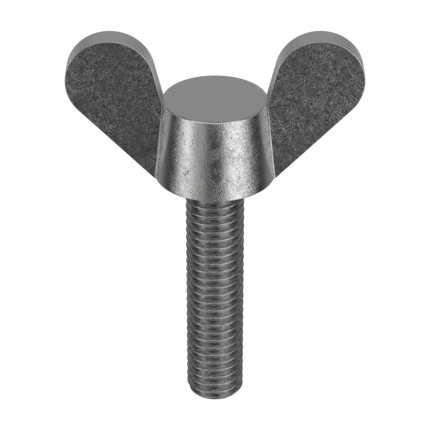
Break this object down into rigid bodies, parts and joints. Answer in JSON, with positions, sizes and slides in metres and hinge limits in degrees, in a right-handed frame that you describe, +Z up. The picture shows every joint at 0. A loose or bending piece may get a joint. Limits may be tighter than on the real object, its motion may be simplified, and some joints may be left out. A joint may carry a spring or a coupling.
{
  "type": "wing screw",
  "caption": "Wing screw with two round flat wings on a tapered hub and a long right-hand threaded stud, turned by hand.",
  "frame": {"origin": "centre of the hub's underside, the bearing face, on the screw's axis", "axes": "+Z up the screw's axis towards the hub's flat top, the thread points to -Z; +X towards the right wing; the wing plates lie in the XZ plane"},
  "size_m": [0.039, 0.016, 0.055],
  "materials": {
    "hub_metal": "turned, semi-bright, finely pitted",
    "wing_metal": "tumbled, dark mottled grey with light scratches",
    "stud_metal": "rolled thread, satin grey"
  },
  "bodies": {
    "root": {"hub": "hub_metal", "left_wing": "wing_metal", "right_wing": "wing_metal", "threaded_stud": "stud_metal"}
  },
  "joints": []
}
